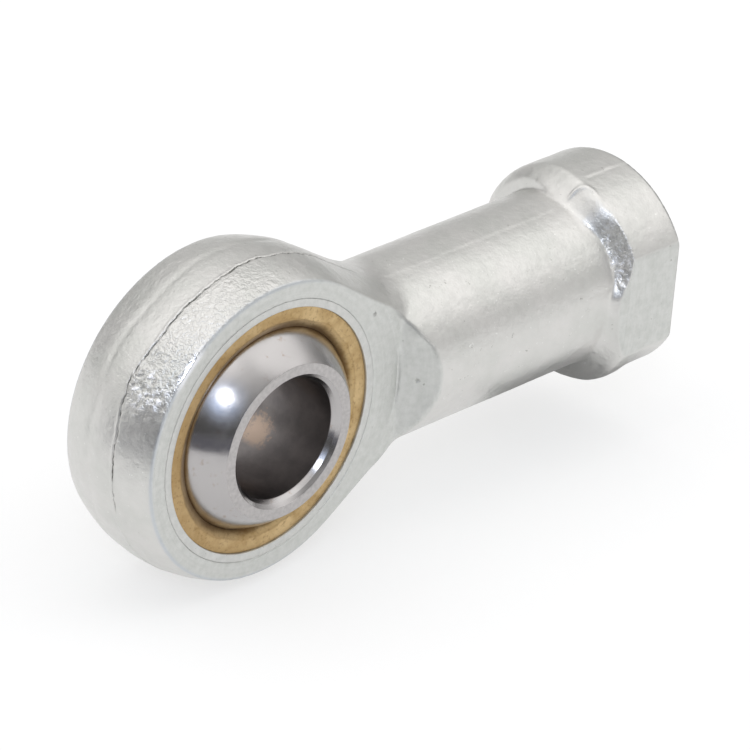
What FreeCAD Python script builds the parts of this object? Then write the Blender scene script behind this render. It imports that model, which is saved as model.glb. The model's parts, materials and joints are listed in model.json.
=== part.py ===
"""Rod end bearing with a female thread: a forged housing, and in its eye a radial
spherical plain bearing made of a steel outer ring, a bronze liner and a hardened ball.

Frame: the origin is the centre of the ball. +X runs along the shank to the threaded
end, Y is the axis of the ball's bore, and +Z is up. Millimetres.
"""

import FreeCAD, Part
import os

import Sketcher
from FreeCAD import Placement, Rotation, Vector

# Driving dimensions: name, value, what it measures. Lengths in mm, angles in degrees.
DIMENSIONS = [
    ("bore_diameter", 12.0, "bore through the ball"),
    ("ball_diameter", 22.225, "sphere of the ball"),
    ("ball_width", 16.0, "across the ball's two ground faces"),
    ("ball_chamfer", 0.7, "at both ends of the ball's bore"),
    ("ring_diameter", 26.0, "outer ring, outside"),
    ("ring_thickness", 0.8, "outer ring, radial"),
    ("ring_recess", 0.05, "outer ring's face below the eye's face"),
    ("ring_bevel", 0.15, "on the outer ring's outer edges"),
    ("liner_recess", 0.27, "liner's face below the eye's face"),
    ("liner_lip", 1.3, "flat part of the liner's face, radial"),
    ("liner_lip_depth", 0.5, "depth of the bevel between that flat and the sphere"),
    ("ball_clearance", 0.03, "radial gap between the ball and the liner"),
    ("head_diameter", 32.0, "eye, over its crown"),
    ("head_width", 11.2, "eye, across its two machined faces"),
    ("blank_width", 23.0, "eye before its faces are machined"),
    ("crown_radius", 13.7, "arc of the eye's barrel-shaped rim"),
    ("shank_diameter", 17.1, "round shank"),
    ("neck_radius", 5.0, "fillet between the eye and the shank"),
    ("facing_reach", 16.2, "machined faces run this far towards the shank"),
    ("ramp_length", 3.0, "slope from a machined face up to the shank"),
    ("centre_to_end", 50.0, "ball centre to the threaded end"),
    ("collar_diameter", 21.6, "round collar at the threaded end"),
    ("collar_length", 6.0, "full-diameter part of the collar"),
    ("shoulder_length", 3.9, "rounded step from the shank up to the collar"),
    ("collar_chamfer", 0.35, "outer edge of the threaded end"),
    ("wrench_width", 19.0, "across the two wrench flats"),
    ("wrench_length", 9.0, "flats, measured from the threaded end"),
    ("tap_drill_diameter", 10.2, "core hole of the M12 x 1.75 thread"),
    ("thread_depth", 22.0, "usable thread, from the threaded end"),
    ("drill_depth", 26.0, "core hole, from the threaded end to its cone"),
    ("countersink_diameter", 12.6, "mouth of the thread"),
]

doc = FreeCAD.newDocument("rod_end_bearing")
sheet = doc.addObject("Spreadsheet::Sheet", "Dimensions")
for row, (alias, value, meaning) in enumerate(DIMENSIONS, start=1):
    sheet.set(f"A{row}", meaning)
    sheet.set(f"B{row}", str(value))
    sheet.setAlias(f"B{row}", alias)
doc.recompute()


# ---------------------------------------------------------------- sketching helpers

ROOT, V_AXIS = -1, -2  # Sketcher's names for the origin with the H axis, and for the V axis
START, END, CENTRE = 1, 2, 3  # Sketcher's names for the points of an edge


def new_body(name):
    body = doc.addObject("PartDesign::Body", name)
    body.Label = name
    body.Placement = Placement(Vector(0, 0, 0), Rotation())
    return body


def new_sketch(body, name, plane):
    sketch = body.newObject("Sketcher::SketchObject", name)
    for feature in body.Origin.OriginFeatures:
        if feature.Role == plane:
            sketch.AttachmentSupport = [(feature, "")]
    sketch.MapMode = "FlatFace"
    return sketch


def size(name):
    """Value of a driving dimension, for the first guess of a sketch's geometry."""
    return float(sheet.get(name))


def touch(point, edge):
    return point.isEqual(edge.StartPoint, 1e-6) or point.isEqual(edge.EndPoint, 1e-6)


def chain(sketch, edges, smooth=()):
    """Adds edges end to end into one closed outline and returns their numbers.

    An arc may lie backwards in the outline, because Sketcher's arcs run anticlockwise.
    smooth lists the places in edges whose far corner is tangent instead of free.
    """
    numbers = [sketch.addGeometry(edge, False) for edge in edges]
    forward = [touch(edge.StartPoint, edges[place - 1]) for place, edge in enumerate(edges)]
    for place, number in enumerate(numbers):
        after = (place + 1) % len(numbers)
        head = END if forward[place] else START
        tail = START if forward[after] else END
        kind = "Tangent" if place in smooth else "Coincident"
        sketch.addConstraint(Sketcher.Constraint(kind, number, head, numbers[after], tail))
    return numbers


def arc_through(first, middle, last):
    """Arc through three (x, y) points, laid anticlockwise whichever way they run."""
    ends = [Vector(*place, 0) for place in (first, middle, last)]
    if (ends[1] - ends[0]).cross(ends[2] - ends[1]).z < 0:
        ends.reverse()
    return Part.Arc(*ends)


def lines(points):
    ends = [Vector(across, along, 0) for across, along in points]
    return [Part.LineSegment(one, other) for one, other in zip(ends, ends[1:])]


def level(sketch, *numbers):
    for number in numbers:
        sketch.addConstraint(Sketcher.Constraint("Horizontal", number))


def upright(sketch, *numbers):
    for number in numbers:
        sketch.addConstraint(Sketcher.Constraint("Vertical", number))


def drive(sketch, name, kind, where, formula, guess):
    """Adds one dimension to a sketch and binds it to the sheet."""
    index = sketch.addConstraint(Sketcher.Constraint(kind, *where, guess))
    sketch.renameConstraint(index, name)
    sketch.setExpression(f"Constraints.{name}", formula)


def mirror_ends(sketch, first, second):
    """Makes two points, each an (edge, point) pair, mirror images across the H axis."""
    sketch.addConstraint(Sketcher.Constraint("Symmetric", *first, *second, ROOT))


def revolve(body, name, sketch, axis):
    feature = body.newObject("PartDesign::Revolution", name)
    feature.Profile = sketch
    feature.ReferenceAxis = (sketch, [axis])
    feature.Angle = 360
    body.Tip = feature
    return feature


def cut_through(body, name, sketch):
    """Pocket that runs the whole way through the body, to both sides of its sketch."""
    feature = body.newObject("PartDesign::Pocket", name)
    feature.Profile = sketch
    feature.SideType = "Symmetric"
    feature.Type = "Length"
    feature.setExpression("Length", "Dimensions.head_diameter * 2")
    body.Tip = feature
    return feature


# ---------------------------------------------------------------- housing

def eye_blank(body):
    """Barrel round Y, wider than the finished eye: its rim is one arc."""
    sketch = new_sketch(body, "EyeProfile", "XY_Plane")
    half = size("blank_width") / 2
    crown = size("crown_radius")
    middle = size("head_diameter") / 2 - crown
    edge = middle + (crown**2 - half**2) ** 0.5
    rim = arc_through((edge, -half), (middle + crown, 0), (edge, half))
    bottom, arc, top, spine = chain(
        sketch, lines([(0, -half), (edge, -half)]) + [rim] + lines([(edge, half), (0, half), (0, -half)])
    )
    level(sketch, bottom, top)
    sketch.addConstraint(Sketcher.Constraint("PointOnObject", spine, START, V_AXIS))
    sketch.addConstraint(Sketcher.Constraint("PointOnObject", arc, CENTRE, ROOT))
    mirror_ends(sketch, (spine, START), (spine, END))
    drive(sketch, "width", "DistanceY", (spine, END, spine, START), "Dimensions.blank_width", 2 * half)
    drive(sketch, "crown", "Radius", (arc,), "Dimensions.crown_radius", crown)
    drive(
        sketch, "crown_middle", "DistanceX", (ROOT, START, arc, CENTRE),
        "Dimensions.head_diameter / 2 - Dimensions.crown_radius", middle,
    )
    return revolve(body, "EyeBlank", sketch, "V_Axis")


def shank_and_collar(body):
    """Shank, rounded shoulder and collar in one outline turned round X."""
    sketch = new_sketch(body, "ShankProfile", "XY_Plane")
    start = size("ring_diameter") / 4
    end = size("centre_to_end")
    shank = size("shank_diameter") / 2
    collar = size("collar_diameter") / 2
    chamfer = size("collar_chamfer")
    foot = end - size("collar_length") - size("shoulder_length")
    top = end - size("collar_length")
    waist = ((foot + top) / 2, (shank + collar) / 2)
    along, across = (top - foot) * 0.27, (collar - shank) * 0.15
    hollow = arc_through((foot, shank), (foot + along, shank + across), waist)
    crest = arc_through(waist, (top - along, collar - across), (top, collar))
    edges = (
        lines([(start, 0), (start, shank), (foot, shank)])
        + [hollow, crest]
        + lines([(top, collar), (end - chamfer, collar), (end, collar - chamfer), (end, 0), (start, 0)])
    )
    inner, side, dip, bulge, rim, bevel, face, spine = chain(sketch, edges, smooth=(1, 2, 3))
    upright(sketch, inner, face)
    level(sketch, side, rim)
    sketch.addConstraint(Sketcher.Constraint("PointOnObject", spine, START, ROOT))
    sketch.addConstraint(Sketcher.Constraint("PointOnObject", spine, END, ROOT))
    sketch.addConstraint(Sketcher.Constraint("Equal", dip, bulge))
    drive(
        sketch, "inner_end", "DistanceX", (ROOT, START, spine, END),
        "Dimensions.ring_diameter / 4", start,
    )
    drive(
        sketch, "outer_end", "DistanceX", (ROOT, START, spine, START),
        "Dimensions.centre_to_end", end,
    )
    drive(
        sketch, "shank_radius", "DistanceY", (ROOT, START, side, START),
        "Dimensions.shank_diameter / 2", shank,
    )
    drive(
        sketch, "collar_radius", "DistanceY", (ROOT, START, rim, START),
        "Dimensions.collar_diameter / 2", collar,
    )
    drive(
        sketch, "collar_reach", "DistanceX", (rim, START, face, START),
        "Dimensions.collar_length", end - top,
    )
    drive(
        sketch, "shoulder_reach", "DistanceX", (side, END, rim, START),
        "Dimensions.shoulder_length", top - foot,
    )
    drive(
        sketch, "bevel_along", "DistanceX", (rim, END, face, START),
        "Dimensions.collar_chamfer", chamfer,
    )
    drive(
        sketch, "bevel_in", "DistanceY", (face, START, rim, END),
        "Dimensions.collar_chamfer", chamfer,
    )
    return revolve(body, "ShankAndCollar", sketch, "H_Axis")


def neck_fillet(body, blank):
    """Rounds the one closed corner where the shank runs into the eye."""
    shank = size("shank_diameter") / 2
    half_eye = size("head_diameter") / 2
    corner = []
    for number, edge in enumerate(blank.Shape.Edges, start=1):
        places = [edge.valueAt(edge.FirstParameter + part * (edge.LastParameter - edge.FirstParameter))
                  for part in (0.2, 0.5, 0.8)]
        on_shank = all(abs((place.y**2 + place.z**2) ** 0.5 - shank) < 0.01 for place in places)
        at_eye = all(half_eye * 0.7 < place.x < half_eye for place in places)
        if on_shank and at_eye:
            corner.append(f"Edge{number}")
    if not corner:
        raise RuntimeError("no corner was found between the shank and the eye")
    fillet = body.newObject("PartDesign::Fillet", "NeckFillet")
    fillet.Base = (blank, corner)
    fillet.setExpression("Radius", "Dimensions.neck_radius")
    body.Tip = fillet
    return fillet


def machined_faces(body, side):
    """Cuts one flat face on the eye, its slope up to the shank, and one wrench flat.

    side is +1 for the face on +Y and -1 for the face on -Y.
    """
    tag = "Rear" if side > 0 else "Front"
    sketch = new_sketch(body, f"{tag}Faces", "XY_Plane")
    face = side * size("head_width") / 2
    crest = side * size("shank_diameter") / 2
    outside = side * size("head_diameter") / 2
    far = -size("head_diameter")
    reach = size("facing_reach")
    slope_end = reach + size("ramp_length")
    base, ramp, step, roof, left = chain(
        sketch, lines([(far, face), (reach, face), (slope_end, crest), (slope_end, outside),
                       (far, outside), (far, face)])
    )
    level(sketch, base, roof)
    upright(sketch, step, left)

    def offset(name, edge, point, formula, guess):
        """Distance of a point from the H axis, towards this side."""
        ends = (ROOT, START, edge, point) if side > 0 else (edge, point, ROOT, START)
        drive(sketch, name, "DistanceY", ends, formula, abs(guess))

    offset("face", base, START, "Dimensions.head_width / 2", face)
    offset("crest", ramp, END, "Dimensions.shank_diameter / 2", crest)
    offset("outside", roof, START, "Dimensions.head_diameter / 2", outside)
    drive(sketch, "far_end", "DistanceX", (base, START, ROOT, START), "Dimensions.head_diameter", -far)
    drive(sketch, "reach", "DistanceX", (ROOT, START, base, END), "Dimensions.facing_reach", reach)
    drive(sketch, "slope", "DistanceX", (ramp, START, ramp, END), "Dimensions.ramp_length", slope_end - reach)

    flat = side * size("wrench_width") / 2
    inner = size("centre_to_end") - size("wrench_length")
    outer = size("centre_to_end") + size("collar_chamfer")
    floor, right, lid, wall = chain(
        sketch, lines([(inner, flat), (outer, flat), (outer, outside), (inner, outside), (inner, flat)])
    )
    level(sketch, floor, lid)
    upright(sketch, right, wall)
    offset("flat", floor, START, "Dimensions.wrench_width / 2", flat)
    offset("flat_outside", lid, START, "Dimensions.head_diameter / 2", outside)
    drive(
        sketch, "flat_start", "DistanceX", (ROOT, START, floor, START),
        "Dimensions.centre_to_end - Dimensions.wrench_length", inner,
    )
    drive(
        sketch, "flat_end", "DistanceX", (ROOT, START, floor, END),
        "Dimensions.centre_to_end + Dimensions.collar_chamfer", outer,
    )
    return cut_through(body, f"{tag}FaceCut", sketch)


def ring_seat(body):
    sketch = new_sketch(body, "RingSeat", "XZ_Plane")
    circle = sketch.addGeometry(Part.Circle(Vector(0, 0, 0), Vector(0, 0, 1), size("ring_diameter") / 2))
    sketch.addConstraint(Sketcher.Constraint("Coincident", circle, CENTRE, ROOT, START))
    drive(sketch, "seat", "Diameter", (circle,), "Dimensions.ring_diameter", size("ring_diameter"))
    return cut_through(body, "RingSeatCut", sketch)


def threaded_bore(body):
    """Blind core hole of the thread, bored from the collar's end, with a countersunk mouth."""
    sketch = new_sketch(body, "ThreadCentre", "YZ_Plane")
    sketch.setExpression("AttachmentOffset.Base.z", "Dimensions.centre_to_end")
    circle = sketch.addGeometry(
        Part.Circle(Vector(0, 0, 0), Vector(0, 0, 1), size("tap_drill_diameter") / 2)
    )
    sketch.addConstraint(Sketcher.Constraint("Coincident", circle, CENTRE, ROOT, START))
    drive(sketch, "core", "Diameter", (circle,), "Dimensions.tap_drill_diameter", size("tap_drill_diameter"))
    hole = body.newObject("PartDesign::Hole", "ThreadedBore")
    hole.Profile = sketch
    body.Tip = hole
    doc.recompute()
    hole.Threaded = True
    hole.ThreadType = "ISOMetricProfile"
    hole.ThreadSize = "M12x1.75"
    hole.ThreadDepthType = "Dimension"
    hole.setExpression("ThreadDepth", "Dimensions.thread_depth")
    hole.setExpression("Diameter", "Dimensions.tap_drill_diameter")
    hole.DepthType = "Dimension"
    hole.setExpression("Depth", "Dimensions.drill_depth")
    hole.DrillPoint = "Angled"
    hole.DrillPointAngle = 118
    hole.HoleCutType = "Countersink"
    hole.HoleCutCustomValues = True
    hole.HoleCutCountersinkAngle = 90
    hole.setExpression("HoleCutDiameter", "Dimensions.countersink_diameter")
    return hole


def make_housing():
    body = new_body("rod_end_housing")
    eye_blank(body)
    blank = shank_and_collar(body)
    doc.recompute()
    neck_fillet(body, blank)
    steps = [lambda: machined_faces(body, 1), lambda: machined_faces(body, -1),
             lambda: ring_seat(body), lambda: threaded_bore(body)]
    for step in steps:
        doc.recompute()
        before = body.Shape.Volume
        feature = step()
        doc.recompute()
        if not feature.Shape.Volume < before - 1:
            raise RuntimeError(f"{feature.Name} removed nothing")
    return body


# ---------------------------------------------------------------- bearing

def make_outer_ring():
    """Plain steel ring pressed into the eye, its outer edges bevelled."""
    body = new_body("outer_ring")
    sketch = new_sketch(body, "RingProfile", "XY_Plane")
    outside = size("ring_diameter") / 2
    inside = outside - size("ring_thickness")
    half = size("head_width") / 2 - size("ring_recess")
    bevel = size("ring_bevel")
    low, lower_bevel, wall, upper_bevel, high, bore = chain(
        sketch, lines([(inside, -half), (outside - bevel, -half), (outside, bevel - half),
                       (outside, half - bevel), (outside - bevel, half), (inside, half), (inside, -half)])
    )
    level(sketch, low)
    mirror_ends(sketch, (low, START), (high, END))
    mirror_ends(sketch, (wall, START), (wall, END))
    mirror_ends(sketch, (low, END), (high, START))
    drive(
        sketch, "width", "DistanceY", (bore, END, bore, START),
        "Dimensions.head_width - 2 * Dimensions.ring_recess", 2 * half,
    )
    drive(
        sketch, "outside", "DistanceX", (ROOT, START, wall, START),
        "Dimensions.ring_diameter / 2", outside,
    )
    drive(
        sketch, "inside", "DistanceX", (ROOT, START, bore, START),
        "Dimensions.ring_diameter / 2 - Dimensions.ring_thickness", inside,
    )
    drive(sketch, "bevel_in", "DistanceX", (low, END, wall, START), "Dimensions.ring_bevel", bevel)
    drive(sketch, "bevel_along", "DistanceY", (low, END, wall, START), "Dimensions.ring_bevel", bevel)
    revolve(body, "Ring", sketch, "V_Axis")
    return body


def make_liner():
    """Bronze liner: round outside, hollow sphere inside, a bevel at each mouth."""
    body = new_body("bronze_liner")
    sketch = new_sketch(body, "LinerProfile", "XY_Plane")
    outside = size("ring_diameter") / 2 - size("ring_thickness")
    half = size("head_width") / 2 - size("liner_recess")
    lip = outside - size("liner_lip")
    hollow = size("ball_diameter") / 2 + size("ball_clearance")
    mouth = half - size("liner_lip_depth")
    throat = (hollow**2 - mouth**2) ** 0.5
    sphere = arc_through((throat, mouth), (hollow, 0), (throat, -mouth))
    edges = (
        lines([(throat, -mouth), (lip, -half), (outside, -half), (outside, half), (lip, half),
               (throat, mouth)])
        + [sphere]
    )
    lower, low, wall, high, upper, arc = chain(sketch, edges)
    level(sketch, low)
    sketch.addConstraint(Sketcher.Constraint("Coincident", arc, CENTRE, ROOT, START))
    mirror_ends(sketch, (wall, START), (wall, END))
    mirror_ends(sketch, (low, START), (high, END))
    sketch.addConstraint(Sketcher.Constraint("Equal", lower, upper))
    drive(
        sketch, "width", "DistanceY", (wall, START, wall, END),
        "Dimensions.head_width - 2 * Dimensions.liner_recess", 2 * half,
    )
    drive(
        sketch, "outside", "DistanceX", (ROOT, START, wall, START),
        "Dimensions.ring_diameter / 2 - Dimensions.ring_thickness", outside,
    )
    drive(sketch, "lip", "DistanceX", (low, START, low, END), "Dimensions.liner_lip", outside - lip)
    drive(
        sketch, "hollow", "Radius", (arc,),
        "Dimensions.ball_diameter / 2 + Dimensions.ball_clearance", hollow,
    )
    drive(
        sketch, "mouth", "DistanceY", (lower, END, lower, START),
        "Dimensions.liner_lip_depth", half - mouth,
    )
    revolve(body, "Liner", sketch, "V_Axis")
    return body


def make_ball():
    """Ball with two ground faces and a chamfered through bore."""
    body = new_body("inner_ball")
    sketch = new_sketch(body, "BallProfile", "XY_Plane")
    bore = size("bore_diameter") / 2
    half = size("ball_width") / 2
    radius = size("ball_diameter") / 2
    chamfer = size("ball_chamfer")
    face = (radius**2 - half**2) ** 0.5
    sphere = arc_through((face, -half), (radius, 0), (face, half))
    edges = (
        lines([(bore, chamfer - half), (bore + chamfer, -half), (face, -half)])
        + [sphere]
        + lines([(face, half), (bore + chamfer, half), (bore, half - chamfer), (bore, chamfer - half)])
    )
    lower, low, arc, high, upper, wall = chain(sketch, edges)
    level(sketch, low, high)
    sketch.addConstraint(Sketcher.Constraint("Coincident", arc, CENTRE, ROOT, START))
    mirror_ends(sketch, (low, START), (high, END))
    mirror_ends(sketch, (wall, START), (wall, END))
    drive(sketch, "radius", "Radius", (arc,), "Dimensions.ball_diameter / 2", radius)
    drive(sketch, "width", "DistanceY", (low, START, high, END), "Dimensions.ball_width", 2 * half)
    drive(
        sketch, "bore", "DistanceX", (ROOT, START, wall, START),
        "Dimensions.bore_diameter / 2", bore,
    )
    drive(sketch, "chamfer_in", "DistanceX", (lower, START, lower, END), "Dimensions.ball_chamfer", chamfer)
    drive(sketch, "chamfer_along", "DistanceY", (lower, END, lower, START), "Dimensions.ball_chamfer", chamfer)
    revolve(body, "Ball", sketch, "V_Axis")
    return body


# ---------------------------------------------------------------- build, check, write

bodies = [make_housing(), make_outer_ring(), make_liner(), make_ball()]
doc.recompute()

for thing in doc.Objects:
    if "Invalid" in thing.State or "Error" in thing.State:
        raise RuntimeError(f"{thing.Name} did not compute: {thing.State}")
for body in bodies:
    shape = body.Shape
    if shape.isNull() or not shape.isValid() or len(shape.Solids) != 1:
        raise RuntimeError(f"{body.Label} is not one valid solid")

os.makedirs("parts", exist_ok=True)
for body in bodies:
    body.Shape.exportStep(f"parts/{body.Label}.step")
    box = body.Shape.BoundBox
    print(f"{body.Label}: {body.Shape.Volume:.1f} mm3, "
          f"{box.XLength:.2f} x {box.YLength:.2f} x {box.ZLength:.2f} mm")
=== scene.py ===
"""Looks of the rod end bearing: forged, zinc-plated housing, steel ring, bronze liner, polished ball.

Lengths are in millimetres until a mesh is made, which is in metres like the frame.
The origin is the centre of the ball, +X runs along the shank and Y along the ball's bore. The front is -Y.
"""

import json
import math

import bpy
import numpy as np
from mathutils import Matrix, Vector, noise


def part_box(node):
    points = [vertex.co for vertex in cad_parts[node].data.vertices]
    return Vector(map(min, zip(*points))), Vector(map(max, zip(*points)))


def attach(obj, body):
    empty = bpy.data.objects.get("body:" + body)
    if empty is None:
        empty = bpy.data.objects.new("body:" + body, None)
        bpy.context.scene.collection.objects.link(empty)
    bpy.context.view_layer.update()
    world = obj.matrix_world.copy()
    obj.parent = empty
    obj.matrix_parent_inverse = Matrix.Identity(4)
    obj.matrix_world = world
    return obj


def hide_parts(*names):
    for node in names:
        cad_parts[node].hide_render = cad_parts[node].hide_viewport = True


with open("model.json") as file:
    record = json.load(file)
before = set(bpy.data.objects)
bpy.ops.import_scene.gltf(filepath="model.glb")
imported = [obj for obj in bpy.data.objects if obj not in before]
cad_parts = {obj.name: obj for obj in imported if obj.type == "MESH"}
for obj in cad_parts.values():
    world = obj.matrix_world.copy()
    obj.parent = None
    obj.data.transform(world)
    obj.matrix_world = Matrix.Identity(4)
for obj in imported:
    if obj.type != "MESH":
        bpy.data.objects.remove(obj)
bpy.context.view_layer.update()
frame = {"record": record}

MM = 0.001


def corner(node):
    """Highest corner of a CAD node, in millimetres."""
    return [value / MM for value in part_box(node)[1]]


# Sizes that the frame holds
HEAD_RADIUS = -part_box("rod_end_housing")[0][0] / MM
END_X, HALF_WRENCH, _ = corner("rod_end_housing")
RING_RADIUS, RING_HALF_WIDTH, _ = corner("outer_ring")
LINER_RADIUS, LINER_HALF_WIDTH, _ = corner("bronze_liner")
BALL_RADIUS, BALL_HALF_WIDTH, _ = corner("inner_ball")
MOUNTS = {mount["name"]: mount for mount in frame["record"]["mounts"]}
BALL_BORE = MOUNTS["ball_bore"]["dims"]["r_mm"]
CORE_RADIUS = MOUNTS["rod_thread"]["dims"]["r_mm"]

# The forging: half the eye's width, the curve across its rim, the shank and the collar. The neck's fillet
# is smaller at mid-height.
HALF_HEAD = 5.6
CROWN_RADIUS = 13.7
SHANK_START = 6.0
SHANK_RADIUS = 8.63
COLLAR_RADIUS = 10.72
NECK_RADIUS = 5.0
MIDDLE_NECK_RADIUS = 1.8

# The step up to the collar, the bearings between which it is an upright wall, and the length past the
# nominal end
STEP_FOOT = 41.4
STEP_TOP = 43.8
WALL_BEARINGS = (0.12, 1.12)
OVERSHOOT = 0.2

# The machined sides: how far out the cutter went, the step it left, the ramp beyond, and the wrench flats
CUTTER_RADIUS = 16.2
CUTTER_STEP = 0.07
RAMP_START = 16.15
RAMP_SLOPE = 1.0
RAMP_SOFTNESS = 0.16
FLAT_START = 40.0

# The tapped hole
THREAD_PITCH = 1.75
THREAD_DEPTH = 0.9
THREAD_START = 28.0
DRILL_END = 24.0
COUNTERSINK_RADIUS = 6.3

# How far the housing's edges are rounded
SIDE_EDGE = 0.16
COLLAR_EDGE = 0.22
BORE_EDGE = 0.12

# Sizes of the bearing that no box gives
BALL_CHAMFER = 0.7
SEAT_GAP = 0.03
LINER_LIP = 1.3
LINER_LIP_DEPTH = 0.5

# Where the forging's halves met, and where the rim was trimmed
MAIN_SEAM = -1.7
BACK_SEAM = 1.65

# Marks that lie where the photo has them. A bearing is in radians: on the eye it goes round Y from +X,
# on the shank it goes round X from the front.
SEAM_BEND_BEARING = 2.6
OPEN_SEAM_BEARINGS = (0.9, 3.47)
CRINKLED_BEARINGS = (1.3, 3.0)
ROUGH_SPOT = (-13.7, -2.7, 7.8)
ROUGH_REACH = (1.8, 2.4, 1.8)
WORN_BEARING = 2.40
WORN_DEPTH = 0.085
WORN_TILT = math.radians(33.7)
TOOL_LINE = 16.08
HOOK_X = 42.4
HOOK_BEARING = 1.25
HOOK_RADIUS = 1.36
HOOK_OFF_AXIS = 10.0
FRONT_PITS = ((17.45, -6.97, 0.0), (12.5, -5.6, 8.0))
# Where a pale reflection is painted in the ball's bore
BORE_REFLECTION_Y = 0.4
BORE_REFLECTION_Z = -4.3

# Keeps noise patterns off the origin, where noise is always 0
NOISE_SHIFT = 31.7

# Radius at which the eye's machined side meets its rim
RIM_EDGE = HEAD_RADIUS - CROWN_RADIUS + math.sqrt(CROWN_RADIUS**2 - HALF_HEAD**2)


# ---------------------------------------------------------------- solid fields

def round_union(one, other, radius):
    """Joins two distance fields with a fillet where they meet."""
    inside = np.hypot(np.maximum(radius - one, 0), np.maximum(radius - other, 0))
    return np.maximum(radius, np.minimum(one, other)) - inside


def round_overlap(one, other, radius):
    """Keeps what two distance fields share, with the edge between them rounded."""
    outside = np.hypot(np.maximum(radius + one, 0), np.maximum(radius + other, 0))
    return np.minimum(-radius, np.maximum(one, other)) + outside


def smooth(value):
    """Eases from 0 to 1 while the value goes from 0 to 1, and stays level outside."""
    value = np.clip(value, 0, 1)
    return value * value * (3 - 2 * value)


def bump(value, width):
    """1 where the value is 0, and next to nothing beyond twice the width."""
    return np.exp(-((value / width) ** 2))


def between(value, low, high, ease_in, ease_out):
    """1 from low to high except for an easing from 0 at each end, and 0 outside."""
    return smooth((value - low) / ease_in) * smooth((high - value) / ease_out)


def eye_bearing(x, z):
    """Bearing round the eye, from 0 at +X to a full turn."""
    return np.arctan2(z, x) % (2 * math.pi)


def shank_bearing(y, z):
    """Bearing round the shank: 0 in front, positive above and negative below."""
    return np.arctan2(z, -y)


def steepness(around):
    """How far the step up to the collar is an upright wall at a bearing round the shank."""
    return between(around, *WALL_BEARINGS, 0.3, 0.45)


def shank_field(x, y, z):
    """Shank, shoulder and collar: a radius round X that grows along the shoulder.

    The shoulder is a gentle slope in front, an upright wall above that, and a round one elsewhere.
    The underside swells slightly along the shank and at the collar.
    """
    around = shank_bearing(y, z)
    wall = steepness(around)
    bold = np.maximum(smooth((around - 1.35) / 0.8), smooth((-0.9 - around) / 0.6))
    foot = STEP_FOOT + 1.2 * wall + 1.25 * bold
    top = STEP_TOP + bold
    share = np.clip((x - foot) / (top - foot), 0, 1)
    quarter = np.sqrt(1 - (1 - share) ** 2) * smooth(share / 0.14)
    lift = smooth(share) * (1 - bold - wall) + quarter * bold + share**2 * wall
    rise = COLLAR_RADIUS - SHANK_RADIUS
    below = smooth((-z - 4) / 6)
    swell = below * (0.008 * np.clip(x - 26, 0, 12) + 0.32 * lift * bump(x - 44.7, 1.3))
    steep = (1.5 + 0.5 * wall) * rise / (top - foot) * ((share > 0) & (share < 1))
    radius = SHANK_RADIUS + swell + rise * lift
    return np.maximum((np.hypot(y, z) - radius) / np.hypot(1, steep), SHANK_START - x)


def blank_field(x, y, z):
    """The forging before it is machined."""
    middle = HEAD_RADIUS - CROWN_RADIUS
    eye = np.hypot(np.hypot(x, z) - middle, y) - CROWN_RADIUS
    tighter = smooth((8.2 - np.abs(z)) / 3.2)
    fillet = NECK_RADIUS + (MIDDLE_NECK_RADIUS - NECK_RADIUS) * tighter
    return round_union(eye, shank_field(x, y, z), fillet)


def side_field(x, y, z):
    """The eye's sides: faced flat as far as the cutter went, then the forged ramp to the shank."""
    grade = RAMP_SLOPE + 0.2 * smooth((z - 3.4) / 1.8) + 0.012 * np.minimum(z, 0) ** 2
    past = x - RAMP_START
    bend = np.hypot(past, RAMP_SOFTNESS)
    outside = smooth((np.hypot(x, z) - CUTTER_RADIUS) / 0.15)
    scratch = 0.025 * bump(x - TOOL_LINE + 0.022 * z, 0.09) * smooth((4.6 - np.abs(z)) / 0.8)
    rise = (CUTTER_STEP + grade * (bend + past) / 2) * outside - scratch
    slope = grade * (1 + past / bend) / 2 * outside
    return (np.abs(y) - HALF_HEAD - rise) / np.hypot(1, slope)


def worn_field(x, y, z):
    """A flat rubbed on the eye's front edge, tilted between the face and the rim."""
    here = bump(np.arctan2(z, x) - WORN_BEARING, 0.2)
    flat = math.cos(WORN_TILT) * (np.hypot(x, z) - RIM_EDGE) - math.sin(WORN_TILT) * (y + HALF_HEAD)
    return np.where(here > 0.05, flat + WORN_DEPTH - 0.25 * (1 - here), -1)


def bore_field(x, y, z):
    """Threaded bore: how far a point is from its wall, positive inside the hole."""
    off = np.hypot(y, z)
    turn = (x / THREAD_PITCH - np.arctan2(z, y) / (2 * math.pi)) % 1
    groove = np.clip(1.6 - 4 * np.abs(turn - 0.5), 0, 1)
    fade = smooth((x - THREAD_START) / THREAD_PITCH)
    wall = CORE_RADIUS + THREAD_DEPTH * groove * fade
    wall = np.maximum(wall, COUNTERSINK_RADIUS - (END_X - x))
    cone = x - DRILL_END + 0.6 * (CORE_RADIUS - off)
    return np.minimum(wall - off, cone * 0.85)


def housing_field(x, y, z):
    """The whole housing with rounded edges. The ring's seat is more rounded towards the shank."""
    solid = round_overlap(blank_field(x, y, z), side_field(x, y, z), SIDE_EDGE)
    solid = np.maximum(solid, worn_field(x, y, z))
    flats = np.minimum(np.abs(y) - HALF_WRENCH, x - FLAT_START)
    solid = round_overlap(solid, flats, COLLAR_EDGE)
    solid = round_overlap(solid, x - END_X - OVERSHOOT, COLLAR_EDGE)
    seat_edge = 0.01 + 0.06 * smooth((x + 5) / 9)
    solid = round_overlap(solid, RING_RADIUS - np.hypot(x, z), seat_edge)
    return round_overlap(solid, bore_field(x, y, z), BORE_EDGE)


def spaced(low, high, wide, fine_spans):
    """Grid stops from low to high: wide apart, and closer inside each (start, end, step) span."""
    stops = [low]
    while stops[-1] < high:
        steps = [step for start, end, step in fine_spans if start <= stops[-1] < end]
        stops.append(stops[-1] + min([wide] + steps))
    return np.array(stops)


# Grid layers worked out at once, which keeps the memory small
SLAB = 32


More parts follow.
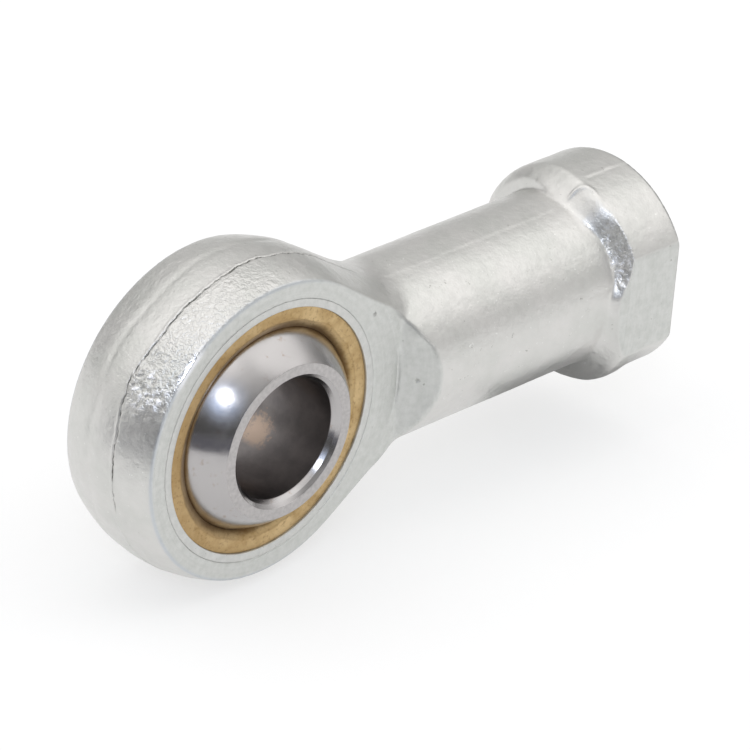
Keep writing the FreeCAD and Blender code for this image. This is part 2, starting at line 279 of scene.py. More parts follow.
def wrap(field, axes):
    """Closed mesh round a field's inside: one point in each cell that the surface crosses.

    Returns the points and the four-sided faces. Each point is moved onto the surface.
    """
    shape = [len(stops) for stops in axes]
    values = np.empty(shape)
    for first in range(0, shape[0], SLAB):
        x = axes[0][first : first + SLAB, None, None]
        values[first : first + SLAB] = field(x, axes[1][None, :, None], axes[2][None, None, :])
    inside = values < 0
    strides = np.array([shape[1] * shape[2], shape[2], 1])
    cells, places, quads = [], [], []
    for axis in range(3):
        across, up = (axis + 1) % 3, (axis + 2) % 3
        ahead = np.roll(inside, -1, axis)
        index = np.argwhere(inside != ahead)
        index = index[(index[:, axis] < shape[axis] - 1) & (index[:, across] > 0) & (index[:, up] > 0)]
        following = index.copy()
        following[:, axis] += 1
        one, other = values[tuple(index.T)], values[tuple(following.T)]
        place = index.astype(float)
        place[:, axis] += one / (one - other)
        base = index @ strides
        side, over = strides[across], strides[up]
        quad = np.stack([base, base - side, base - side - over, base - over], axis=1)
        cells.append(quad.ravel())
        places.append(np.repeat(place, 4, axis=0))
        quads.append(np.where((one > 0)[:, None], quad[:, ::-1], quad))
    names, owner = np.unique(np.concatenate(cells), return_inverse=True)
    places = np.concatenate(places)
    total = np.bincount(owner)
    points = np.empty((len(names), 3))
    for axis, stops in enumerate(axes):
        mean = np.bincount(owner, places[:, axis]) / total
        points[:, axis] = np.interp(mean, np.arange(len(stops)), stops)
    for _ in range(3):
        points -= surface_step(field, points)
    return points, np.searchsorted(names, np.concatenate(quads))


def slopes(field, points):
    """Gradient of a field at each point."""
    parts = []
    for axis in range(3):
        shift = np.zeros(3)
        shift[axis] = 0.02
        parts.append((field(*(points + shift).T) - field(*(points - shift).T)) / 0.04)
    return np.stack(parts, axis=1)


def surface_step(field, points):
    """Step against the field's slope that brings each point back to the surface, 0.1 mm at most."""
    slope = slopes(field, points)
    step = slope * (field(*points.T) / np.maximum((slope**2).sum(axis=1), 0.25))[:, None]
    length = np.linalg.norm(step, axis=1, keepdims=True)
    return step * np.minimum(1, 0.1 / np.maximum(length, 1e-9))


def cloud(points, size, octaves=1):
    """Smooth noise from about -1 to 1 whose lumps are size millimetres across."""
    spots = (points / size + NOISE_SHIFT).tolist()
    if octaves == 1:
        return np.array([noise.noise(spot) for spot in spots]) * 1.6
    return np.array([noise.fractal(spot, 1.0, 2.0, octaves) for spot in spots])


# ---------------------------------------------------------------- meshes

def make_piece(name, body, points, faces):
    """A smooth mesh object that rides on a body. Points are in millimetres."""
    mesh = bpy.data.meshes.new(name)
    mesh.from_pydata((np.asarray(points) * MM).tolist(), [], np.asarray(faces).tolist())
    mesh.shade_smooth()
    piece = bpy.data.objects.new(name, mesh)
    bpy.context.collection.objects.link(piece)
    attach(piece, body)
    return piece


def on_rim(x, z):
    """How far a point is on the eye's rim, from 0 to 1."""
    return smooth((15 - x) / 3) * smooth((np.hypot(x, z) - 13.5) / 0.6)


def seam_relief(points):
    """The forging's seams: how far they stand out, distance across the main one, and how open it is.

    The main seam goes round the eye's rim, where its upper half is open, and on along the shank. The
    back seam is a shallow step round the rim.
    """
    x, y, z = points.T
    turn = eye_bearing(x, z)
    along = np.where(x < 13, np.minimum(turn, 2 * math.pi - turn) * HEAD_RADIUS, -x)
    line = np.stack([along, 0 * x, np.sign(z)], axis=1)
    rim = on_rim(x, z)
    shank = smooth((x - 15) / 3) * smooth((np.abs(z) - 6) / 1.5) * smooth(np.abs(x - 42.3) - 1.2)
    shank *= 1 + 1.8 * between(x, 44, 49.5, 1, 2)
    ragged = 0.07 * cloud(line, 4.0) + 0.09 * cloud(line, 1.1) + 0.07 * cloud(line, 0.4)
    seam = y - MAIN_SEAM - ragged - 0.55 * bump(turn - SEAM_BEND_BEARING, 0.2)
    upper = between(turn, *OPEN_SEAM_BEARINGS, 0.4, 0.12)
    open_seam = rim * upper * np.clip(0.65 + 0.8 * cloud(line + 5, 0.7), 0.25, 1.1)
    relief = rim * 0.05 * bump(seam - 0.17, 0.13) - 0.09 * open_seam * bump(seam, 0.08)
    relief -= 0.03 * rim * (1 - upper) * bump(seam, 0.12)
    relief += shank * (0.022 * bump(seam - 0.2, 0.35) - 0.012 * bump(seam + 0.15, 0.25))
    back = y - BACK_SEAM - 0.3 * cloud(line + 9, 5.0)
    relief += rim * (0.03 * bump(back - 0.9, 0.6) - 0.05 * bump(back, 0.35))
    return relief, seam, open_seam


def skin_relief(points, seam):
    """The forging's skin apart from its seams: how far it stands out, its rough places and the step wall's
    painted shade.

    It is rough in a patch on the rim and on the step's wall, crinkled on the rim's upper front, and a
    hooked crest ends the wall at its top.
    """
    x, y, z = points.T
    turn = eye_bearing(x, z)
    around = shank_bearing(y, z)
    near = np.linalg.norm((points - ROUGH_SPOT) / ROUGH_REACH, axis=1)
    patch = smooth(1.7 - 1.1 * near + 0.35 * cloud(points + 6, 1.0)) * smooth((0.25 - seam) / 0.4)
    wall = steepness(around) * between(x, 42.4, 44.0, 0.4, 0.25)
    rough = np.maximum(patch, 0.65 * wall)
    # Painted shade on the upper part of the step's wall
    wall_shade = wall * smooth((0.95 - around) / 0.4) * smooth((x - 42.8) / 0.6)
    crinkled = on_rim(x, z) * between(turn, *CRINKLED_BEARINGS, 0.5, 0.6)
    crinkled *= 0.3 + 0.7 * smooth((-1 - y) / 1.2)
    hook = np.hypot(x - HOOK_X, (around - HOOK_BEARING) * HOOK_OFF_AXIS) - HOOK_RADIUS
    relief = 0.010 * cloud(points, 3.0) + 0.008 * cloud(points + 7, 1.2) + 0.006 * cloud(points + 2, 0.6)
    relief += rough * (0.05 * cloud(points + 3, 0.7) + 0.05 * cloud(points + 4, 0.4))
    relief += 0.12 * bump(hook, 0.2) * smooth(x - 41.8) * smooth((around - 1.1) / 0.15)
    return relief, {"rough": rough, "crinkled": np.maximum(crinkled, rough), "wall_shade": wall_shade}


def forged_relief(points, forged):
    """How far the forged skin stands out at each point, and the layers that its paint needs."""
    seams, seam, open_seam = seam_relief(points)
    skin, layers = skin_relief(points, seam)
    layers["open_seam"] = open_seam
    layers = {name: values * forged for name, values in layers.items()}
    return (seams + skin) * forged, {"seam": seam, **layers}


def edge_layers(points):
    """Where the machined sides' outer edge is, and the rubbed spot on it, which is also painted bright as a
    glint.
    """
    x, y, z = points.T
    meeting = np.hypot(blank_field(x, y, z), side_field(x, y, z))
    beside = np.abs(np.arctan2(z, x) - WORN_BEARING)
    wear_and_glint = smooth(1.5 - meeting / 0.36) * smooth(1.6 - beside / 0.12) * (y < 0)
    return {"edge": smooth(1.5 - meeting / 0.18), "wear_and_glint": wear_and_glint}


def make_housing():
    """The forging. Its grid is finer at the eye, rough patch, tool line, collar's step and seams."""
    fine_along = [(-17, 20, 0.24), (-15, -9.5, 0.16), (15.8, 16.5, 0.1), (42, 44.5, 0.14)]
    fine_across = [(-2.1, -1.2, 0.08), (1.1, 2.0, 0.18), (-5.9, -5.2, 0.12)]
    fine_up = [(5, 11, 0.18)]
    axes = [
        spaced(-17, END_X + 0.8, 0.32, fine_along),
        spaced(-12, 12, 0.3, fine_across),
        spaced(-17, 17, 0.27, fine_up),
    ]
    points, faces = wrap(housing_field, axes)
    normals = slopes(housing_field, points)
    normals /= np.linalg.norm(normals, axis=1, keepdims=True)
    forged = smooth(1 - np.abs(blank_field(*points.T)) / 0.04)
    relief, layers = forged_relief(points, forged)
    points = points + normals * relief[:, None]
    piece = make_piece("housing_forging", "housing", points, faces)
    for name, values in {"forged": forged, **layers, **edge_layers(points)}.items():
        layer = piece.data.attributes.new(name, "FLOAT", "POINT")
        layer.data.foreach_set("value", values)
    return piece


def rounded(profile, turns):
    """Closed profile with each corner replaced by an arc: (radius, height, rounding) in, points out."""
    out = []
    count = len(profile)
    for index, (radius, height, rounding) in enumerate(profile):
        here = Vector((radius, height))
        before = Vector(profile[index - 1][:2]) - here
        after = Vector(profile[(index + 1) % count][:2]) - here
        if not rounding:
            out.append(here)
            continue
        half = before.angle(after) / 2
        cut = min(rounding / math.tan(half), before.length * 0.45, after.length * 0.45)
        start, end = here + before.normalized() * cut, here + after.normalized() * cut
        centre = here + (before.normalized() + after.normalized()).normalized() * cut / math.cos(half)
        for step in range(turns + 1):
            share = step / turns
            spoke = (start - centre).lerp(end - centre, share).normalized()
            out.append(centre + spoke * (start - centre).length)
    return out


def lathe(name, body, profile, segments=320, turns=4):
    """Turns a closed (radius, height) profile round Y."""
    outline = rounded(profile, turns)
    angles = np.arange(segments) * 2 * math.pi / segments
    points = [
        (spot.x * math.cos(angle), spot.y, spot.x * math.sin(angle)) for angle in angles for spot in outline
    ]
    count = len(outline)
    faces = []
    for turn in range(segments):
        following = (turn + 1) % segments
        for index in range(count):
            after = (index + 1) % count
            one, other = turn * count, following * count
            faces.append((one + index, one + after, other + after, other + index))
    return make_piece(name, body, points, faces)


def sphere_stops(radius, low, high, count):
    """Corners of a profile that follow a sphere round the origin between two heights."""
    heights = np.linspace(low, high, count)
    return [(math.sqrt(radius**2 - height**2), height, 0) for height in heights]


def make_ball():
    """Ball, ground flat at both ends, with a chamfered bore."""
    edge = BALL_BORE + BALL_CHAMFER
    middle = BALL_BORE + 0.45 * BALL_CHAMFER
    half = BALL_HALF_WIDTH
    face = math.sqrt(BALL_RADIUS**2 - half**2)
    profile = [
        (middle, -half + 0.5 * BALL_CHAMFER, 0.2),
        (BALL_BORE, -half + 1.2 * BALL_CHAMFER, 0.1),
        (BALL_BORE, half - 1.2 * BALL_CHAMFER, 0.1),
        (middle, half - 0.5 * BALL_CHAMFER, 0.2),
        (edge, half, 0.05),
        (face, half, 0.12),
        *sphere_stops(BALL_RADIUS, half - 0.25, -half + 0.25, 90),
        (face, -half, 0.12),
        (edge, -half, 0.05),
    ]
    return lathe("ball_polished", "ball", profile)


def make_liner():
    """Bronze race: a spherical seat inside, and a bevel into it at each end."""
    seat = BALL_RADIUS + SEAT_GAP
    lip = LINER_RADIUS - LINER_LIP
    start = LINER_HALF_WIDTH - LINER_LIP_DEPTH
    profile = [
        (LINER_RADIUS, LINER_HALF_WIDTH, 0.06),
        (LINER_RADIUS, -LINER_HALF_WIDTH, 0.06),
        (lip, -LINER_HALF_WIDTH, 0.35),
        *sphere_stops(seat, -start, start, 60),
        (lip, LINER_HALF_WIDTH, 0.35),
    ]
    return lathe("liner_bronze", "housing", profile)


def make_ring():
    """Thin steel ring between the eye and the bronze."""
    profile = [
        (RING_RADIUS, -RING_HALF_WIDTH, 0.015),
        (LINER_RADIUS, -RING_HALF_WIDTH, 0.1),
        (LINER_RADIUS, RING_HALF_WIDTH, 0.1),
        (RING_RADIUS, RING_HALF_WIDTH, 0.015),
    ]
    return lathe("ring_steel", "housing", profile)


# ---------------------------------------------------------------- materials

class Paint:
    """A node material under construction. Lengths in its patterns are millimetres."""

    def __init__(self, name):
        self.material = bpy.data.materials.new(name)
        self.material.use_nodes = True
        self.tree = self.material.node_tree
        self.shader = self.tree.nodes["Principled BSDF"]
        place = self.tree.nodes.new("ShaderNodeTexCoord").outputs["Object"]
        self.place = self.add("VectorMath", {0: place, "Scale": 1 / MM}, operation="SCALE").outputs[0]

    def add(self, kind, inputs, **settings):
        """A node with its settings made and its inputs fed."""
        node = self.tree.nodes.new("ShaderNode" + kind)
        for key, value in settings.items():
            setattr(node, key, value)
        for key, value in inputs.items():
            self.put(node.inputs[key], value)
        return node

    def put(self, socket, value):
        """Feeds a socket from another socket, or sets it to a plain value."""
        if isinstance(value, bpy.types.NodeSocket):
            self.tree.links.new(value, socket)
        else:
            socket.default_value = value

    def math(self, operation, *values):
        return self.add("Math", dict(enumerate(values)), operation=operation).outputs[0]

    def noise(self, size, detail=3.0, roughness=0.55, place=None):
        """Noise from 0 to 1 whose lumps are size millimetres across."""
        inputs = {"Vector": place or self.place, "Scale": 1 / size, "Detail": detail, "Roughness": roughness}
        return self.add("TexNoise", inputs).outputs["Fac"]

    def ramp(self, value, low, high, bottom=0.0, top=1.0):
        """Goes from bottom to top while the value goes from low to high."""
        inputs = {"Value": value, "From Min": low, "From Max": high, "To Min": bottom, "To Max": top}
        return self.add("MapRange", inputs, clamp=True).outputs["Result"]

    def mix(self, share, one, other):
        """One colour where the share is 0, the other where it is 1."""
        node = self.add("Mix", {0: share}, data_type="RGBA")
        self.put(node.inputs[6], one)
        self.put(node.inputs[7], other)
        return node.outputs[2]

    def blend(self, share, one, other):
        """One number where the share is 0, the other where it is 1."""
        node = self.add("Mix", {0: share, 2: one, 3: other}, data_type="FLOAT")
        return node.outputs[0]

    def layer(self, name):
        """A number that the mesh holds at each point."""
        return self.add("Attribute", {}, attribute_name=name).outputs["Fac"]

    def split(self):
        """The place's X, Y and Z."""
        node = self.add("SeparateXYZ", {0: self.place})
        return node.outputs[0], node.outputs[1], node.outputs[2]

    def distance(self, one, other):
        """Distance from an axis, from the two coordinates across it."""
        squares = self.math("ADD", self.math("MULTIPLY", one, one), self.math("MULTIPLY", other, other))
        return self.math("SQRT", squares)

    def pit(self, spot, wobble):
        """A pit's depth from 0 to 1 round a point, with an uneven edge."""
        reach = self.add("VectorMath", {0: self.place, 1: spot}, operation="DISTANCE").outputs["Value"]
        return self.ramp(self.math("ADD", reach, self.math("MULTIPLY", wobble, 0.3)), 0.2, 0.42, 1.0, 0.0)

    def finish(self, colour, metallic, roughness, height, depth):
        """Feeds the shader. A height of 1 stands out by depth millimetres."""
        self.put(self.shader.inputs["Base Color"], colour)
        self.put(self.shader.inputs["Metallic"], metallic)
        self.put(self.shader.inputs["Roughness"], roughness)
        relief = self.add("Bump", {"Height": height, "Strength": 1.0, "Distance": depth * MM})
        self.put(self.shader.inputs["Normal"], relief.outputs[0])
        return self.material


PIT_GREY = (0.22, 0.22, 0.19, 1)
DARK_BRONZE = (0.22, 0.13, 0.05, 1)


def forged_zinc(paint, crumbs, creases):
    """Colour of the forged skin: cloudy, with painted shade in its creases, on the step's wall and in rough
    recesses, and painted glints where it is rough.
    """
    rough = paint.layer("rough")
    lumps = paint.ramp(paint.noise(5.0, 3.0), 0.38, 0.62)
    colour = paint.mix(lumps, (0.63, 0.63, 0.605, 1), (0.68, 0.67, 0.65, 1))
    # Painted shade in the skin's creases
    crease_shade = paint.math("MULTIPLY", paint.ramp(creases, 0.0, 0.03, 0.4, 0.0), paint.layer("crinkled"))
    colour = paint.mix(crease_shade, colour, (0.36, 0.36, 0.36, 1))
    # Painted shade on the step's wall
    wall_shade = paint.math("MULTIPLY", paint.layer("wall_shade"), 0.24)
    colour = paint.mix(wall_shade, colour, (0.33, 0.33, 0.36, 1))
    # Painted white glints on the rough patch and the step's wall
    painted_glint = paint.math("MULTIPLY", paint.ramp(crumbs, 0.52, 0.62), rough)
    colour = paint.mix(painted_glint, colour, (0.95, 0.96, 1.0, 1))
    # Painted shade in the recesses of the rough places
    hollow_shade = paint.math("MULTIPLY", paint.ramp(crumbs, 0.43, 0.34, 0.0, 0.5), rough)
    colour = paint.mix(hollow_shade, colour, (0.22, 0.22, 0.23, 1))
    flecks = paint.ramp(paint.noise(0.45, 3.0, 0.7), 0.66, 0.73, 0.0, 0.6)
    return paint.mix(flecks, colour, (0.93, 0.93, 0.91, 1))


def satin_pattern(paint, x, z, reach, skin):
    """Pattern of the machined faces: the skin's, partly drawn out into arcs round the eye."""
    bearing = paint.math("ARCTAN2", z, x)
    round_eye = paint.add("CombineXYZ", {0: paint.math("MULTIPLY", reach, 4.0), 1: bearing})
    return paint.blend(0.35, skin, paint.noise(1.6, 3.0, 0.6, round_eye.outputs[0]))


def tinted_edges(paint, x, z, colour):
    """Colour with a painted shadow line on the side's edge by the shank, a painted bluish reflection along
    the edge elsewhere, and the rubbed spot, burnished and painted bright as a glint.
    """
    edge = paint.layer("edge")
    # Painted shadow of the small step along the side's edge by the shank
    step_shadow = paint.math("MULTIPLY", paint.math("POWER", edge, 2.0), paint.ramp(x, 14.5, 16.0))
    step_shadow = paint.math("MULTIPLY", step_shadow, paint.ramp(z, 1.5, 3.5, 0.0, 0.4))
    colour = paint.mix(step_shadow, colour, (0.15, 0.15, 0.15, 1))
    # Painted bluish reflection along the side's outer edge, fading out towards the shank
    cool = paint.math("MULTIPLY", edge, paint.ramp(x, 2.0, 8.0, 0.5, 0.0))
    colour = paint.mix(cool, colour, (0.50, 0.54, 0.60, 1))
    # Rubbed spot: burnished metal, with a painted highlight where the lamp glints on it
    return paint.mix(paint.layer("wear_and_glint"), colour, (0.78, 0.79, 0.82, 1))


def zinc():
    """Zinc plate: the forged skin with its seam, and the machined faces with faint turning marks."""
    paint = Paint("zinc_plate")
    x, _, z = paint.split()
    reach = paint.distance(x, z)
    forged = paint.layer("forged")
    skin = paint.noise(0.7, 4.0, 0.62)
    grain = paint.noise(0.2, 3.0, 0.6)
    creases = paint.math("ABSOLUTE", paint.math("SUBTRACT", paint.noise(0.85, 3.0, 0.6), 0.5))
    crumbs = paint.noise(0.6, 3.0, 0.6)
    satin = satin_pattern(paint, x, z, reach, skin)
    wander = paint.ramp(paint.noise(0.3, 2.0), 0.0, 1.0, -0.07, 0.07)
    across = paint.math("ABSOLUTE", paint.math("ADD", paint.layer("seam"), wander))
    crack_and_shade = paint.math("MULTIPLY", paint.ramp(across, 0.02, 0.07, 1.0, 0.0), paint.layer("open_seam"))

    face_colour = paint.mix(paint.ramp(satin, 0.38, 0.6), (0.565, 0.575, 0.55, 1), (0.635, 0.64, 0.62, 1))
    colour = paint.mix(forged, face_colour, forged_zinc(paint, crumbs, creases))
    pits = paint.ramp(paint.noise(0.8, 5.0, 0.7), 0.28, 0.34, 0.6, 0.0)
    colour = paint.mix(pits, colour, PIT_GREY)
    # Painted shade inside the open seam
    colour = paint.mix(crack_and_shade, colour, (0.19, 0.19, 0.18, 1))
    colour = tinted_edges(paint, x, z, colour)

    face_roughness = paint.ramp(satin, 0.38, 0.6, 0.47, 0.41)
    roughness = paint.blend(forged, face_roughness, paint.ramp(skin, 0.3, 0.7, 0.28, 0.44))
    roughness = paint.blend(paint.layer("wear_and_glint"), roughness, 0.17)

    rings = paint.math("SINE", paint.math("MULTIPLY", reach, 34.0))
    turned = paint.math("MULTIPLY", rings, paint.ramp(x, 17.0, 20.0, 0.008, 0.0))
    cut = paint.math("ADD", turned, paint.math("MULTIPLY", paint.blend(0.5, grain, skin), 0.6))
    cast = paint.math("ADD", paint.math("MULTIPLY", skin, 0.75), paint.math("MULTIPLY", grain, 0.12))
    for pattern, layer, strength in ((creases, "crinkled", 4.8), (crumbs, "rough", 3.0)):
        where = paint.math("MULTIPLY", paint.layer(layer), strength)
        cast = paint.math("ADD", cast, paint.math("MULTIPLY", pattern, where))
    cast = paint.math("SUBTRACT", cast, crack_and_shade)
    height = paint.blend(forged, cut, cast)
    for spot in FRONT_PITS:
        hole = paint.pit(spot, paint.noise(0.25, 2.0))
        colour = paint.mix(paint.math("MULTIPLY", hole, 0.55), colour, (0.22, 0.22, 0.20, 1))
        height = paint.math("SUBTRACT", height, paint.math("MULTIPLY", hole, 1.2))
    return paint.finish(colour, 0.85, roughness, height, 0.07)


def steel_ring():
    """Bare steel of the outer ring, turned and lightly pitted."""
    paint = Paint("ring_face")
    x, _, z = paint.split()
    cloudy = paint.noise(0.8, 4.0, 0.6)
    colour = paint.mix(paint.ramp(cloudy, 0.35, 0.65), (0.555, 0.56, 0.54, 1), (0.65, 0.65, 0.63, 1))
    pits = paint.ramp(paint.noise(0.5, 4.0, 0.7), 0.27, 0.35, 0.5, 0.0)
    colour = paint.mix(pits, colour, PIT_GREY)
    rings = paint.math("SINE", paint.math("MULTIPLY", paint.distance(x, z), 50.0))
    height = paint.math("ADD", cloudy, paint.math("MULTIPLY", rings, 0.04))
    return paint.finish(colour, 0.85, paint.ramp(cloudy, 0.3, 0.7, 0.36, 0.46), height, 0.03)


def bronze():
    """Porous bronze with painted shade away from the shank, and dirt and painted shadow in the bevel beside
    the ball.
    """
    paint = Paint("bronze")
    x, _, z = paint.split()
    blotch = paint.noise(2.2, 4.0, 0.6)
    pores = paint.noise(0.35, 4.0, 0.7)
    colour = paint.mix(paint.ramp(blotch, 0.36, 0.62), (0.44, 0.30, 0.135, 1), (0.62, 0.46, 0.245, 1))
    # Painted shade: darker on the side away from the shank
    colour = paint.mix(paint.ramp(x, -12.0, 2.0, 0.45, 0.0), colour, (0.33, 0.20, 0.08, 1))
    colour = paint.mix(paint.ramp(pores, 0.54, 0.7, 0.0, 0.6), colour, DARK_BRONZE)
    lip = LINER_RADIUS - LINER_LIP
    wavy = paint.math("ADD", paint.distance(x, z), paint.ramp(blotch, 0.3, 0.7, -0.2, 0.2))
    # Dirt and painted shadow in the bevel where the liner meets the ball
    grime_and_shadow = paint.ramp(wavy, lip - 0.75, lip - 0.35, 0.8, 0.0)
    colour = paint.mix(grime_and_shadow, colour, (0.24, 0.13, 0.04, 1))
    # Painted shade line along the lip's edge
    line = paint.ramp(paint.math("ABSOLUTE", paint.math("SUBTRACT", wavy, lip)), 0.0, 0.14, 0.3, 0.0)
    colour = paint.mix(line, colour, DARK_BRONZE)
    height = paint.math("ADD", pores, paint.math("MULTIPLY", blotch, 0.5))
    return paint.finish(colour, 0.9, paint.ramp(blotch, 0.3, 0.7, 0.38, 0.5), height, 0.025)


def bore_colour(paint, x, y, z, smear, fine):
    """Dark, smeared colour of the ball's bore, with a painted pale reflection on its far wall."""
    colour = paint.mix(paint.ramp(smear, 0.35, 0.65), (0.21, 0.195, 0.195, 1), (0.27, 0.25, 0.245, 1))
    beside = paint.math("SUBTRACT", y, BORE_REFLECTION_Y)
    above = paint.math("SUBTRACT", z, BORE_REFLECTION_Z)
    ragged = paint.math("MULTIPLY", paint.math("SUBTRACT", fine, 0.5), 3.0)
    away = paint.math("ADD", paint.distance(beside, above), ragged)
    # Painted pale reflection on the bore's far wall
    reflection_patch = paint.math("MULTIPLY", paint.ramp(away, 0.9, 1.8, 0.8, 0.0), paint.ramp(x, 3.0, 3.6))
    return paint.mix(reflection_patch, colour, (0.50, 0.38, 0.30, 1))


def polished():
    """The ball's steel: polished round the outside, ground on the end faces, darker and rougher in the bore.
    """
    paint = Paint("polished_steel")
    x, y, z = paint.split()
    reach = paint.distance(x, z)
    face = paint.ramp(paint.math("ABSOLUTE", y), BALL_HALF_WIDTH - 0.06, BALL_HALF_WIDTH - 0.02)
    bore = paint.ramp(reach, BALL_BORE + 0.02, BALL_BORE + 0.06, 1.0, 0.0)
    smear = paint.noise(1.6, 4.0, 0.6)
    fine = paint.noise(0.4, 3.0, 0.6)
    colour = paint.mix(smear, (0.435, 0.42, 0.42, 1), (0.475, 0.46, 0.455, 1))
    stains = paint.ramp(paint.noise(1.1, 5.0, 0.7), 0.60, 0.72, 0.0, 0.55)
    colour = paint.mix(stains, colour, (0.30, 0.20, 0.14, 1))
    face_colour = paint.mix(paint.ramp(fine, 0.35, 0.65), (0.405, 0.39, 0.385, 1), (0.50, 0.48, 0.475, 1))
    colour = paint.mix(face, colour, face_colour)
    colour = paint.mix(bore, colour, bore_colour(paint, x, y, z, smear, fine))
    roughness = paint.ramp(smear, 0.3, 0.7, 0.14, 0.26)
    roughness = paint.blend(face, roughness, paint.ramp(fine, 0.3, 0.7, 0.28, 0.36))
    roughness = paint.blend(bore, roughness, 0.3)
    rings = paint.math("SINE", paint.math("MULTIPLY", reach, 70.0))
    ground = paint.math("ADD", paint.math("MULTIPLY", rings, 0.5), paint.math("MULTIPLY", fine, 6.0))
    rubbed = paint.math("ADD", paint.math("MULTIPLY", smear, 1.2), paint.math("MULTIPLY", fine, 1.5))
    height = paint.blend(face, rubbed, ground)
    return paint.finish(colour, 1.0, roughness, height, 0.002)


def dress(piece, material):
    """Gives a piece its one material."""
    piece.data.materials.clear()
    piece.data.materials.append(material)


for piece, node, slot, material in (
    (make_housing(), "rod_end_housing", "zinc_plated_steel", zinc()),
    (make_ring(), "outer_ring", "ring_steel", steel_ring()),
    (make_liner(), "bronze_liner", "bronze", bronze()),
    (make_ball(), "inner_ball", "polished_steel", polished()),
):
    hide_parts(node)
    dress(piece, material)


# ---------------------------------------------------------------- studio

def heading(azimuth, elevation):
    """Unit vector towards a compass bearing: azimuth 0 is -Y and 90 is +X."""
    turn, lift = math.radians(azimuth), math.radians(elevation)
    return Vector((math.sin(turn) * math.cos(lift), -math.cos(turn) * math.cos(lift), math.sin(lift)))


def make_sheet(name, points, faces, height, colour):
    """A flat staging piece that lies height metres under the object's lowest point."""
    mesh = bpy.data.meshes.new(name)
    mesh.from_pydata(points, [], faces)
    sheet = bpy.data.objects.new(name, mesh)
    sheet.location.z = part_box("rod_end_housing")[0][2] - height
    bpy.context.collection.objects.link(sheet)
    material = bpy.data.materials.new(name + "_paper")
    material.use_nodes = True
    shader = material.node_tree.nodes["Principled BSDF"]
    shader.inputs["Base Color"].default_value = (*colour, 1)
    shader.inputs["Roughness"].default_value = 0.9
    dress(sheet, material)
    return sheet, shader


def make_floor():
    """Pale floor, with a glow that brings it close to white."""
    half = 3.0
    corners = [(-half, -half, 0), (half, -half, 0), (half, half, 0), (-half, half, 0)]
    _, shader = make_sheet("floor", corners, [(0, 1, 2, 3)], 0.0002, (0.45, 0.45, 0.45))
    shader.inputs["Emission Color"].default_value = (1, 1, 1, 1)
    shader.inputs["Emission Strength"].default_value = 0.54


def make_cards():
    """Dark cards on the floor, seen only in reflections: one beside the picture paints the dark room's
    reflection, and one under the collar paints the shaded floor beneath the part.
    """
    inner, outer, stops = 0.074, 2.9, 24
    points, faces = [], []
    for index in range(stops + 1):
        away = heading(-120 + 100 * index / stops, 0)
        points += [tuple(away * inner), tuple(away * outer)]
    for index in range(stops):
        faces.append((2 * index, 2 * index + 1, 2 * index + 3, 2 * index + 2))
    under = [(0.037, -0.009, 0), (0.056, -0.009, 0), (0.056, 0.014, 0), (0.037, 0.014, 0)]
    for card, _ in (
        # Painted reflections of a dark room beside the picture and of shaded floor under the collar
        make_sheet("dark_reflection_card", points, faces, 0.0001, (0.12, 0.12, 0.145)),
        make_sheet("floor_shade_card", under, [(0, 1, 2, 3)], 0.0001, (0.25, 0.25, 0.25)),
    ):
        card.visible_camera = card.visible_diffuse = card.visible_shadow = False


# Point that the camera looks at, its bearing and height from there, how far away it is, and its tilt
AIM = Vector((17.505, -1.506, -1.870)) * MM
CAMERA_AZIMUTH = -46.902
CAMERA_ELEVATION = 28.822
CAMERA_DISTANCE = 0.4954
CAMERA_ROLL = 4.572
LENS = 254.75


def make_camera():
    """Long lens at the photo's angle, tilted as the part lies on its eye and collar."""
    data = bpy.data.cameras.new("camera")
    data.lens = LENS
    data.clip_start, data.clip_end = 0.01, 20
    camera = bpy.data.objects.new("camera", data)
    away = heading(CAMERA_AZIMUTH, CAMERA_ELEVATION)
    level = away.to_track_quat("Z", "Y").to_matrix().to_4x4()
    roll = Matrix.Rotation(math.radians(CAMERA_ROLL), 4, "Z")
    camera.matrix_world = Matrix.Translation(AIM + away * CAMERA_DISTANCE) @ level @ roll
    bpy.context.collection.objects.link(camera)
    bpy.context.scene.camera = camera


# azimuth, elevation, full inside this angle, none outside this angle, brightness, and whether it is bluish
SKY_PATCHES = (
    (-50, 39, 0, 8.5, 7.5, False),
    (-53, 36, 2, 17, 0.75, True),
    (-50, 36, 3, 26, 0.3, True),
    (58, 52, 8, 36, 0.82, False),
    (-140, 58, 15, 55, 0.42, False),
    (-100, 70, 5, 35, 0.42, False),
    (-15, 68, 3, 25, 0.3, False),
    (0, 5, 5, 28, 1.1, False),
    (50, 10, 5, 35, 0.5, False),
    (90, 18, 5, 30, 0.25, False),
    (130, 40, 10, 50, 0.18, False),
    (155, 5, 10, 45, 0.25, False),
    (-130, 15, 5, 40, 0.6, False),
)
WARM_WHITE = (1, 0.995, 0.985)
COOL_BLUE = (0.72, 0.95, 1.4)


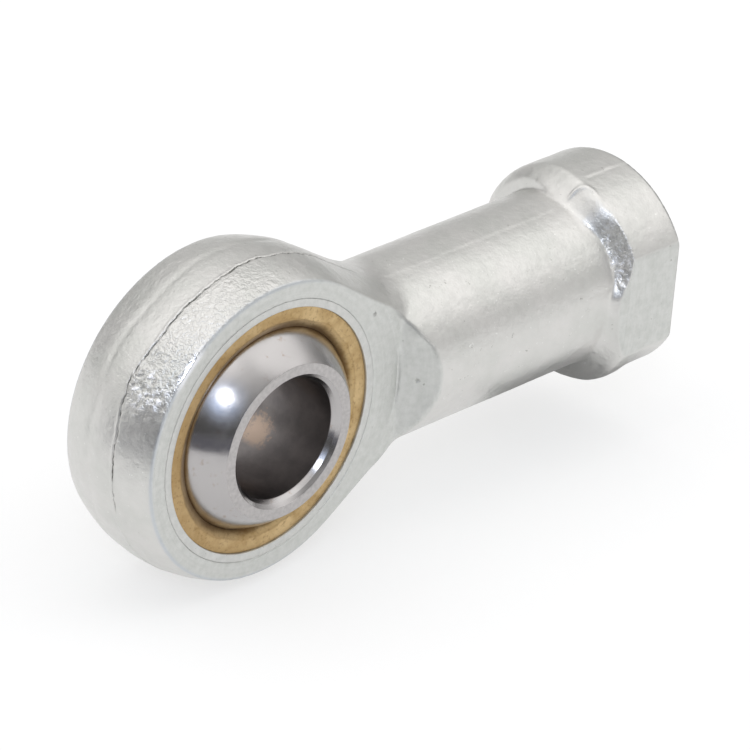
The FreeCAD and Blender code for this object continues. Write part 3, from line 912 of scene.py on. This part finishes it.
def make_sky():
    """Studio round the object: dark at the horizon, bright above, with soft glowing patches."""
    world = bpy.data.worlds.new("studio")
    world.use_nodes = True
    bpy.context.scene.world = world
    tree = world.node_tree
    around = tree.nodes.new("ShaderNodeTexCoord").outputs["Generated"]

    def math_node(operation, *values):
        node = tree.nodes.new("ShaderNodeMath")
        node.operation = operation
        for index, value in enumerate(values):
            if isinstance(value, bpy.types.NodeSocket):
                tree.links.new(value, node.inputs[index])
            else:
                node.inputs[index].default_value = value
        return node.outputs[0]

    def band(value, low, high, top):
        node = tree.nodes.new("ShaderNodeMapRange")
        node.interpolation_type = "SMOOTHSTEP"
        tree.links.new(value, node.inputs["Value"])
        for key, number in (("From Min", low), ("From Max", high), ("To Max", top)):
            node.inputs[key].default_value = number
        return node.outputs["Result"]

    def patch(azimuth, elevation, inner, outer, top):
        node = tree.nodes.new("ShaderNodeVectorMath")
        node.operation = "DOT_PRODUCT"
        tree.links.new(around, node.inputs[0])
        node.inputs[1].default_value = heading(azimuth, elevation)
        low, high = math.cos(math.radians(outer)), math.cos(math.radians(inner))
        return band(node.outputs["Value"], low, high, top)

    def tinted(total, colour):
        node = tree.nodes.new("ShaderNodeVectorMath")
        node.operation = "SCALE"
        node.inputs[0].default_value = colour
        tree.links.new(total, node.inputs["Scale"])
        return node.outputs[0]

    parts = tree.nodes.new("ShaderNodeSeparateXYZ")
    tree.links.new(around, parts.inputs[0])
    white = math_node("ADD", band(parts.outputs[2], 0.1, 0.95, 0.57), 0.12)
    blue = 0.0
    for *spot, cool in SKY_PATCHES:
        if cool:
            blue = math_node("ADD", blue, patch(*spot))
        else:
            white = math_node("ADD", white, patch(*spot))
    both = tree.nodes.new("ShaderNodeVectorMath")
    tree.links.new(tinted(white, WARM_WHITE), both.inputs[0])
    tree.links.new(tinted(blue, COOL_BLUE), both.inputs[1])
    tree.links.new(both.outputs[0], tree.nodes["Background"].inputs["Color"])


make_floor()
make_cards()
make_camera()
make_sky()
bpy.context.scene.view_settings.view_transform = "Standard"
